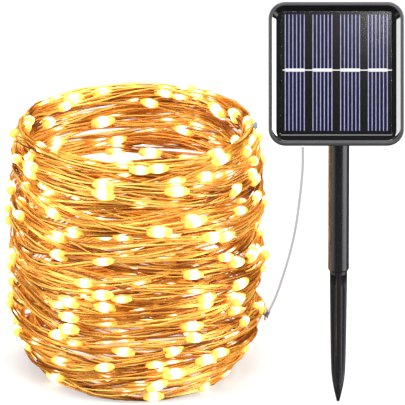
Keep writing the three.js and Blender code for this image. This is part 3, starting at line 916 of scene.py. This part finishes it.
BACK = 9.0 * MM
CASE_TOP = 24.7 * MM
CASE_WALL = 1.8 * MM
CASE_SHOULDER = 3 * MM
CASE_ROUND = 2.6 * MM
CASE_LOW = (75 * MM, 80 * MM, 8.5 * MM, 0)
CASE_HIGH = (77 * MM, 82 * MM, 9 * MM, 0)
SCREWS = [(x * 30.5 * MM, y * 33 * MM) for x in (-1, 1) for y in (-1, 1)]
POST_RADIUS = 3.4 * MM
POST_TOP = 22.3 * MM
BUTTON_X = 20 * MM
BUTTON_Y = -21 * MM
BUTTON_RADIUS = 4.3 * MM
CLEARANCE = 0.3 * MM
GLAND_X = -19.7 * MM
GLAND_DEPTH = 18 * MM
EAR_RADIUS = 5.5 * MM
EYE_HALF_WIDTH = 4 * MM
EAR_THICK = 3.4 * MM
BOLT_HOLE = 2.2 * MM


def bar(radius, low, high, x=0.0, y=0.0, segments=40):
    """A round bar along Z."""
    thing = turned("bar", [(0, low), (radius, low), (radius, high), (0, high)], segments)
    move(thing, x, y, 0)
    return thing


def drill(thing, *place):
    combine(thing, bar(*place), "DIFFERENCE")


def along_x(thing):
    """Turns a piece built along Z to lie along X."""
    thing.data.transform(Matrix.Rotation(math.pi / 2, 4, "Y"))
    return thing


def ear(low):
    """A hinge ear with round edges, its thickness along X from low."""
    side = [(EAR_RADIUS, 2 * MM), (EAR_RADIUS + 2 * MM, BACK - 0.5 * MM),
            (EAR_RADIUS + 2 * MM, BACK + 1 * MM)]
    outline = [(-y, z) for y, z in reversed(side)]
    for i in range(25):
        angle = math.pi + i / 24 * math.pi
        outline.append((EAR_RADIUS * math.cos(angle), EAR_RADIUS * math.sin(angle)))
    outline += side
    edge = 0.4 * MM
    loops = []
    for x, inset in ((low, edge), (low + edge * 0.3, edge * 0.3), (low + edge, 0),
                     (low + EAR_THICK - edge, 0), (low + EAR_THICK - edge * 0.3, edge * 0.3),
                     (low + EAR_THICK, edge)):
        shrink = 1 - inset / EAR_RADIUS
        loops.append([(x, y * shrink, z * shrink if z < 0 else z) for y, z in outline])
    return loft("ear", loops, 25)


def case_shell():
    loops = [
        inset_loop(CASE_LOW, CASE_WALL + 1.7 * MM, BACK + CASE_WALL),
        inset_loop(CASE_LOW, CASE_WALL + 0.5 * MM, BACK + CASE_WALL + 0.6 * MM),
        inset_loop(CASE_LOW, CASE_WALL, BACK + CASE_WALL + 2 * MM),
        inset_loop(CASE_HIGH, CASE_WALL, CASE_TOP),
        inset_loop(CASE_HIGH, 0.2 * MM, CASE_TOP),
        inset_loop(CASE_HIGH, 0, CASE_TOP - 0.2 * MM),
        inset_loop(CASE_LOW, 0, BACK + CASE_SHOULDER),
    ]
    for sine, cosine in quarter_turn(7, 1):
        loops.append(inset_loop(CASE_LOW, CASE_ROUND * (1 - cosine),
                                BACK + CASE_SHOULDER * (1 - sine)))
    return loft("case_shell", loops, 30)


def make_rear_case(finish):
    shell = case_shell()
    for x, y in SCREWS:
        combine(shell, bar(POST_RADIUS, BACK + 1.2 * MM, POST_TOP, x, y), "UNION")
    offset = -HEAD.translation.x
    for low in (EYE_HALF_WIDTH + CLEARANCE, -EYE_HALF_WIDTH - CLEARANCE - EAR_THICK):
        combine(shell, ear(offset + low), "UNION")
    for x, y in SCREWS:
        drill(shell, 1.7 * MM, BACK - 1 * MM, POST_TOP + 1 * MM, x, y)
        drill(shell, 2.9 * MM, BACK - 1 * MM, BACK + 3 * MM, x, y)
    for side in (-1, 1):
        x = side * BUTTON_X
        drill(shell, BUTTON_RADIUS + 1.9 * MM, BACK - 1 * MM, BACK + 0.5 * MM, x, BUTTON_Y, 56)
        drill(shell, BUTTON_RADIUS + CLEARANCE, BACK - 1 * MM, BACK + 4 * MM, x, BUTTON_Y, 48)
    hole = along_x(bar(BOLT_HOLE, -15 * MM, 15 * MM))
    move(hole, offset, 0, 0)
    combine(shell, hole, "DIFFERENCE")
    outlet = bar(2.6 * MM, -42 * MM, -34 * MM)
    outlet.data.transform(Matrix.Rotation(-math.pi / 2, 4, "X"))
    move(outlet, GLAND_X, 0, GLAND_DEPTH)
    combine(shell, outlet, "DIFFERENCE")
    shade(shell, 30)
    shell.name = "case_back"
    paint(shell, finish)
    place_on_head(shell)
    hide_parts("rear_case")


def make_button(node, joint, side, finish):
    """A rubber button with a domed cap and a shallow finger dish."""
    low, high = head_box(node)
    flange = BACK + CASE_WALL + CLEARANCE
    top = low.z
    profile = [
        (0, top + 0.35 * MM), (1.2 * MM, top + 0.28 * MM), (2.2 * MM, top + 0.1 * MM),
        (2.8 * MM, top), (3.3 * MM, top + 0.03 * MM), (3.8 * MM, top + 0.2 * MM),
        (4.15 * MM, top + 0.5 * MM), (BUTTON_RADIUS, top + 0.9 * MM), (BUTTON_RADIUS, flange),
        (BUTTON_RADIUS + 1 * MM, flange), (BUTTON_RADIUS + 1 * MM, flange + 0.8 * MM),
        (1.4 * MM, flange + 0.8 * MM), (1.4 * MM, high.z), (0, high.z),
    ]
    cap = turned(node + "_cap", profile, 48, 30)
    move(cap, side * BUTTON_X, BUTTON_Y, 0)
    paint(cap, finish)
    place_on_head(cap, JOINTS[joint]["child"])
    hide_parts(node)


def make_gland(finish):
    """The lead's rubber outlet, with strain-relief grooves round its nose."""
    low, high = head_box("cable_gland")
    bore = LEAD_RADIUS + CLEARANCE
    profile = [(bore, low.y), (1.7 * MM, low.y), (1.9 * MM, low.y + 0.25 * MM)]
    for groove in range(3):
        z = low.y + (0.9 + 1.2 * groove) * MM
        profile += [(2.15 * MM, z), (2.15 * MM, z + 0.3 * MM), (1.75 * MM, z + 0.45 * MM),
                    (1.75 * MM, z + 0.75 * MM)]
    wall = high.y - 1.2 * MM
    profile += [(2.3 * MM, low.y + 4.6 * MM), (2.3 * MM, wall), (3.6 * MM, wall),
                (3.6 * MM, high.y), (bore, high.y)]
    gland = ring_of_revolution("lead_outlet", profile, 36)
    gland.data.transform(Matrix.Rotation(-math.pi / 2, 4, "X"))
    move(gland, GLAND_X, 0, GLAND_DEPTH)
    paint(gland, finish)
    place_on_head(gland)
    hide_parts("cable_gland")


KNOB_NOTCHES = 8
COLLAR_ROUND = 1.2 * MM
COLLAR_HEIGHT = 5 * MM
COLLAR_BELOW_HINGE = 7 * MM
NECK_HALF_DEPTH = 4.8 * MM


def make_knob(finish):
    """Hand knob with scalloped grip, on the hinge bolt."""
    low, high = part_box("clamp_knob")
    radius = (high.z - low.z) / 2
    thick = high.x - low.x
    rows = [(0, 0.64, 0), (0.04, 0.66, 0.0), (0.1, 0.72, 0.1), (0.2, 0.95, 0.8), (0.26, 1.0, 1.0),
            (0.82, 1.0, 1.0), (0.9, 0.97, 0.9), (0.96, 0.92, 0.6), (1.0, 0.86, 0.4)]
    loops = []
    for level, size, grip in rows:
        loop = []
        for i in range(96):
            angle = 2 * math.pi * i / 96
            notch = max(0, math.cos(KNOB_NOTCHES * angle)) ** 1.5
            reach = radius * size * (1 - 0.11 * grip * notch)
            loop.append((reach * math.cos(angle), reach * math.sin(angle), level * thick))
        loops.append(loop)
    knob = loft("grip_knob", loops, 30)
    drill(knob, BOLT_HOLE, -1 * MM, 5 * MM)
    along_x(knob)
    move(knob, low.x, HINGE.y, HINGE.z)
    paint(knob, finish)
    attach(knob, JOINTS["clamp_knob_turn"]["child"])
    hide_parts("clamp_knob")


def make_knuckle(finish):
    """The stake's hinge eye, its neck and the collar that sits on the tube."""
    low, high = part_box("hinge_knuckle")
    radius = high.x
    shoulder = HINGE.z - COLLAR_BELOW_HINGE
    collar = shoulder - COLLAR_HEIGHT
    plug = radius - 1.3 * MM
    profile = [(0, low.z), (plug - 0.4 * MM, low.z), (plug, low.z + 0.4 * MM), (plug, collar),
               (radius - 0.15 * MM, collar), (radius, collar + 0.15 * MM),
               (radius, shoulder - COLLAR_ROUND)]
    for sine, cosine in quarter_turn(5, 1):
        profile.append((radius - COLLAR_ROUND * (1 - cosine),
                        shoulder - COLLAR_ROUND * (1 - sine)))
    profile.append((0, shoulder))
    knuckle = turned("stake_knuckle", profile, 64, 30)
    points, faces = box_data((-EYE_HALF_WIDTH, -NECK_HALF_DEPTH, shoulder - 1 * MM),
                             (EYE_HALF_WIDTH, NECK_HALF_DEPTH, HINGE.z))
    neck = make_object("neck", points, faces)
    combine(knuckle, neck, "UNION")
    eye = along_x(bar(high.z - HINGE.z, -EYE_HALF_WIDTH, EYE_HALF_WIDTH, segments=56))
    move(eye, 0, HINGE.y, HINGE.z)
    combine(knuckle, eye, "UNION")
    hole = along_x(bar(BOLT_HOLE, -10 * MM, 10 * MM))
    move(hole, 0, HINGE.y, HINGE.z)
    combine(knuckle, hole, "DIFFERENCE")
    shade(knuckle, 30)
    paint(knuckle, finish)
    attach(knuckle, "root")
    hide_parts("hinge_knuckle")


# Stake

TUBE_WALL = 1 * MM
TUBE_FOOT_ROUND = 0.9 * MM
TUBE_FOOT_HEIGHT = 1.2 * MM
TUBE_TOP_EDGE = 0.2 * MM
SPIKE_RIB = 3.4 * MM
PLUG_OVERLAP = 1.5 * MM
# Height in mm and radius in mm
SPIKE_LEVELS = [
    (0, 0.75), (0.6, 0.95), (2, 1.3), (6, 2.2), (10, 3.0), (14, 3.65), (19, 4.15), (24, 4.35),
    (30, 4.5), (36, 4.6), (48, 4.8), (60, 4.95), (72, 5.1), (82.6, 5.2),
]


def cross_loop(radius, half_rib, z, arc_steps=5):
    """Outline of two crossed ribs that thin towards round ends, with filleted corners."""
    half_rib = min(half_rib, radius * 0.66)
    half_end = half_rib * 0.66
    fillet = min(0.9 * MM, (radius - half_rib) * 0.5)
    end_angle = math.asin(half_end / radius)
    shoulder = radius * math.cos(end_angle) - 0.2 * MM * min(1, radius / (4 * MM))
    corner = [(shoulder, half_end * 1.04)]
    for sine, cosine in quarter_turn(4):
        corner.append((half_rib + fillet * (1 - sine), half_rib + fillet * (1 - cosine)))
    corner.append((half_end * 1.04, shoulder))
    points = []
    for quarter in range(4):
        turn = quarter * math.pi / 2
        for i in range(arc_steps + 1):
            angle = turn + end_angle * 0.86 * (2 * i / arc_steps - 1)
            points.append((radius * math.cos(angle), radius * math.sin(angle), z))
        for x, y in corner:
            points.append((x * math.cos(turn) - y * math.sin(turn),
                           x * math.sin(turn) + y * math.cos(turn), z))
    return points


def make_stake(finish):
    low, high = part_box("stake_tube")
    radius = high.x
    bore = radius - TUBE_WALL
    profile = [(bore, low.z), (radius - TUBE_FOOT_ROUND, low.z)]
    for angle in (0.3, 0.7, 1.1, math.pi / 2):
        profile.append((radius - TUBE_FOOT_ROUND * (1 - math.sin(angle)),
                        low.z + TUBE_FOOT_HEIGHT * (1 - math.cos(angle))))
    profile += [(radius, high.z - TUBE_TOP_EDGE), (radius - TUBE_TOP_EDGE, high.z),
                (bore, high.z)]
    tube = ring_of_revolution("tube", profile, 72)
    paint(tube, finish)
    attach(tube, "root")
    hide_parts("stake_tube")


def make_spike(finish):
    _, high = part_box("ground_spike")
    loops = [cross_loop(r * MM, SPIKE_RIB / 2, z * MM) for z, r in SPIKE_LEVELS]
    spike = loft("spike", loops, 35)
    plug_low = SPIKE_LEVELS[-1][0] * MM - PLUG_OVERLAP
    plug_radius = high.x
    plug = turned("plug", [(0, plug_low), (plug_radius - 0.3 * MM, plug_low),
                           (plug_radius, plug_low + 0.3 * MM), (plug_radius, high.z - 0.8 * MM),
                           (plug_radius - 0.8 * MM, high.z), (0, high.z)], 48)
    combine(spike, plug, "UNION")
    paint(spike, finish)
    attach(spike, "root")
    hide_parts("ground_spike")


# CAD nodes that keep their shape

def finish_nodes(finish, *names):
    for name in names:
        paint(NODES[name], finish)


# Name, colour, roughness, metallic, and the nodes that have it
INSIDE = [
    ("bright_steel", (0.62, 0.63, 0.65), 0.3, 1.0,
     "case_screw_1 case_screw_2 case_screw_3 case_screw_4 hinge_bolt hinge_washer "
     "battery_contact_plus battery_contact_spring"),
    ("chip_black", (0.018, 0.018, 0.018), 0.55, 0.0,
     "power_switch mode_switch controller_chip capacitor"),
    ("red_insulation", (0.45, 0.02, 0.02), 0.4, 0.0, "panel_wire_red battery_wire_red"),
    ("black_insulation", (0.02, 0.02, 0.02), 0.4, 0.0, "panel_wire_black battery_wire_black"),
    ("battery_wrap", (0.05, 0.18, 0.42), 0.25, 0.0, "battery_cell"),
    ("circuit_green", (0.02, 0.13, 0.06), 0.35, 0.0, "circuit_board"),
    ("winding_copper", (0.72, 0.32, 0.1), 0.35, 1.0, "choke_coil"),
]


def finish_inside(rubber):
    """The pieces inside the case, and the small fasteners."""
    for name, color, roughness, metallic, nodes in INSIDE:
        finish_nodes(simple_finish(name, color, roughness, metallic), *nodes.split())
    finish_nodes(rubber, "case_seal")


# Floor, light and background

FLOOR_GLOW = 0.42


def make_floor():
    size = 30
    floor = make_object("floor", [(-size, -size, 0), (size, -size, 0), (size, size, 0),
                                  (-size, size, 0)], [(0, 1, 2, 3)])
    material, shader = new_material("white_sweep", (0.4, 0.4, 0.4), 0.9)
    set_inputs(shader, Emission_Color=(1, 1, 1, 1), Emission_Strength=FLOOR_GLOW,
               Specular_IOR_Level=0.0)
    paint(floor, material)
    floor.visible_glossy = False


# Strip reflections below eye level: centre and half width in degrees round from the front
# (positive to the right), and brightness
STRIPS = [(72, 26, 2.6), (-70, 22, 0.9)]
STRIP_LEVEL = 0.34
STRIP_BLUR = 0.25
STRIP_FADE = (0.24, 0.14)  # distance from the level where a strip starts, and is full
SKY = [(0.02, 0.02), (0.3, 0.05), (0.55, 0.1), (0.8, 1)]  # height, brightness
BACKDROP = 0.65  # what the camera sees beyond the floor, close to the floor's far end


def soft_step(world, value, start, end, top=1.0):
    """Rises smoothly to top as the value goes from start to end."""
    node = add(world, "ShaderNodeMapRange", interpolation_type="SMOOTHSTEP")
    set_inputs(node, From_Min=start, From_Max=end, To_Max=top)
    link(world, value, node.inputs["Value"])
    return node.outputs["Result"]


def strip_glow(world, direction):
    """Brightness of the strips in a direction."""
    front = calculate(world, "MULTIPLY", direction["Y"], -1)
    azimuth = calculate(world, "ARCTAN2", direction["X"], front)
    total = 0.0
    for centre, half_width, strength in STRIPS:
        away = calculate(world, "SUBTRACT", azimuth, math.radians(centre))
        away = calculate(world, "ABSOLUTE", away)
        start = math.radians(half_width * (1 + STRIP_BLUR))
        end = math.radians(half_width * (1 - STRIP_BLUR))
        total = calculate(world, "ADD", total, soft_step(world, away, start, end, strength))
    away = calculate(world, "ADD", direction["Z"], STRIP_LEVEL)
    level = soft_step(world, calculate(world, "ABSOLUTE", away), *STRIP_FADE)
    return calculate(world, "MULTIPLY", total, level)


def make_world():
    """A studio that is bright above and dark around, with two strips below eye level."""
    world = bpy.data.worlds.new("studio")
    world.use_nodes = True
    where = add(world, "ShaderNodeTexCoord")
    parts = add(world, "ShaderNodeSeparateXYZ")
    link(world, where.outputs["Generated"], parts.inputs["Vector"])
    sky = ramp(world, parts.outputs["Z"], *((height, (grey,) * 3) for height, grey in SKY))
    ray = add(world, "ShaderNodeLightPath")
    seen = calculate(world, "MULTIPLY", ray.outputs["Is Camera Ray"], BACKDROP)
    glow = calculate(world, "ADD", seen, strip_glow(world, parts.outputs))
    total = add(world, "ShaderNodeVectorMath", operation="ADD")
    link(world, sky, total.inputs[0])
    link(world, glow, total.inputs[1])
    background = world.node_tree.nodes["Background"]
    link(world, total.outputs["Vector"], background.inputs["Color"])
    bpy.context.scene.world = world
    bpy.context.scene.view_settings.view_transform = "Standard"


def add_softbox(name, place, aim, width, height, radiance):
    """An area light with its power worked out from the brightness of its face."""
    data = bpy.data.lights.new(name, "AREA")
    data.shape = "RECTANGLE"
    data.size = width
    data.size_y = height
    data.energy = radiance * math.pi * width * height
    light = bpy.data.objects.new(name, data)
    light.location = place
    light.rotation_mode = "QUATERNION"
    light.rotation_quaternion = (Vector(aim) - Vector(place)).to_track_quat("-Z", "Y")
    light.visible_camera = False
    bpy.context.scene.collection.objects.link(light)


def make_lights():
    head = HINGE + FACE * 30 * MM
    for side, radiance in ((-1, 10), (1, 20)):
        add_softbox(f"side_{side + 2}", (side * 1.15, -0.36, 0.5), head, 0.5, 0.9, radiance)
    add_softbox("overhead", (-0.1, -0.1, 1.5), (-0.1, 0, 0.1), 1.3, 1.3, 5)
    up = FACE.cross(ACROSS)
    glare_place = head + FACE * 0.6 + ACROSS * 0.15 + up * 0.2
    add_softbox("panel_glare", glare_place, head, 0.2, 0.2, 8)
    add_softbox("front_high", (-0.1, -0.95, 1.3), head, 0.8, 0.8, 3)


make_camera()
make_lead()
make_string()
CHARCOAL = rim_material()
make_bezel()
make_cells(cell_material(), finger_material())
make_ribbon()
make_sheet()
finish_nodes(plate_material(), "solar_plate")
make_rear_case(CHARCOAL)
make_knob(CHARCOAL)
make_knuckle(CHARCOAL)
RUBBER = simple_finish("black_rubber", (0.025, 0.025, 0.025), 0.75)
make_gland(RUBBER)
make_button("power_button", "power_press", 1, RUBBER)
make_button("mode_button", "mode_press", -1, RUBBER)
make_stake(stake_material("smooth_charcoal", 0.8))
make_spike(stake_material("spike_charcoal", 0.4))
finish_inside(RUBBER)
make_floor()
make_world()
make_lights()
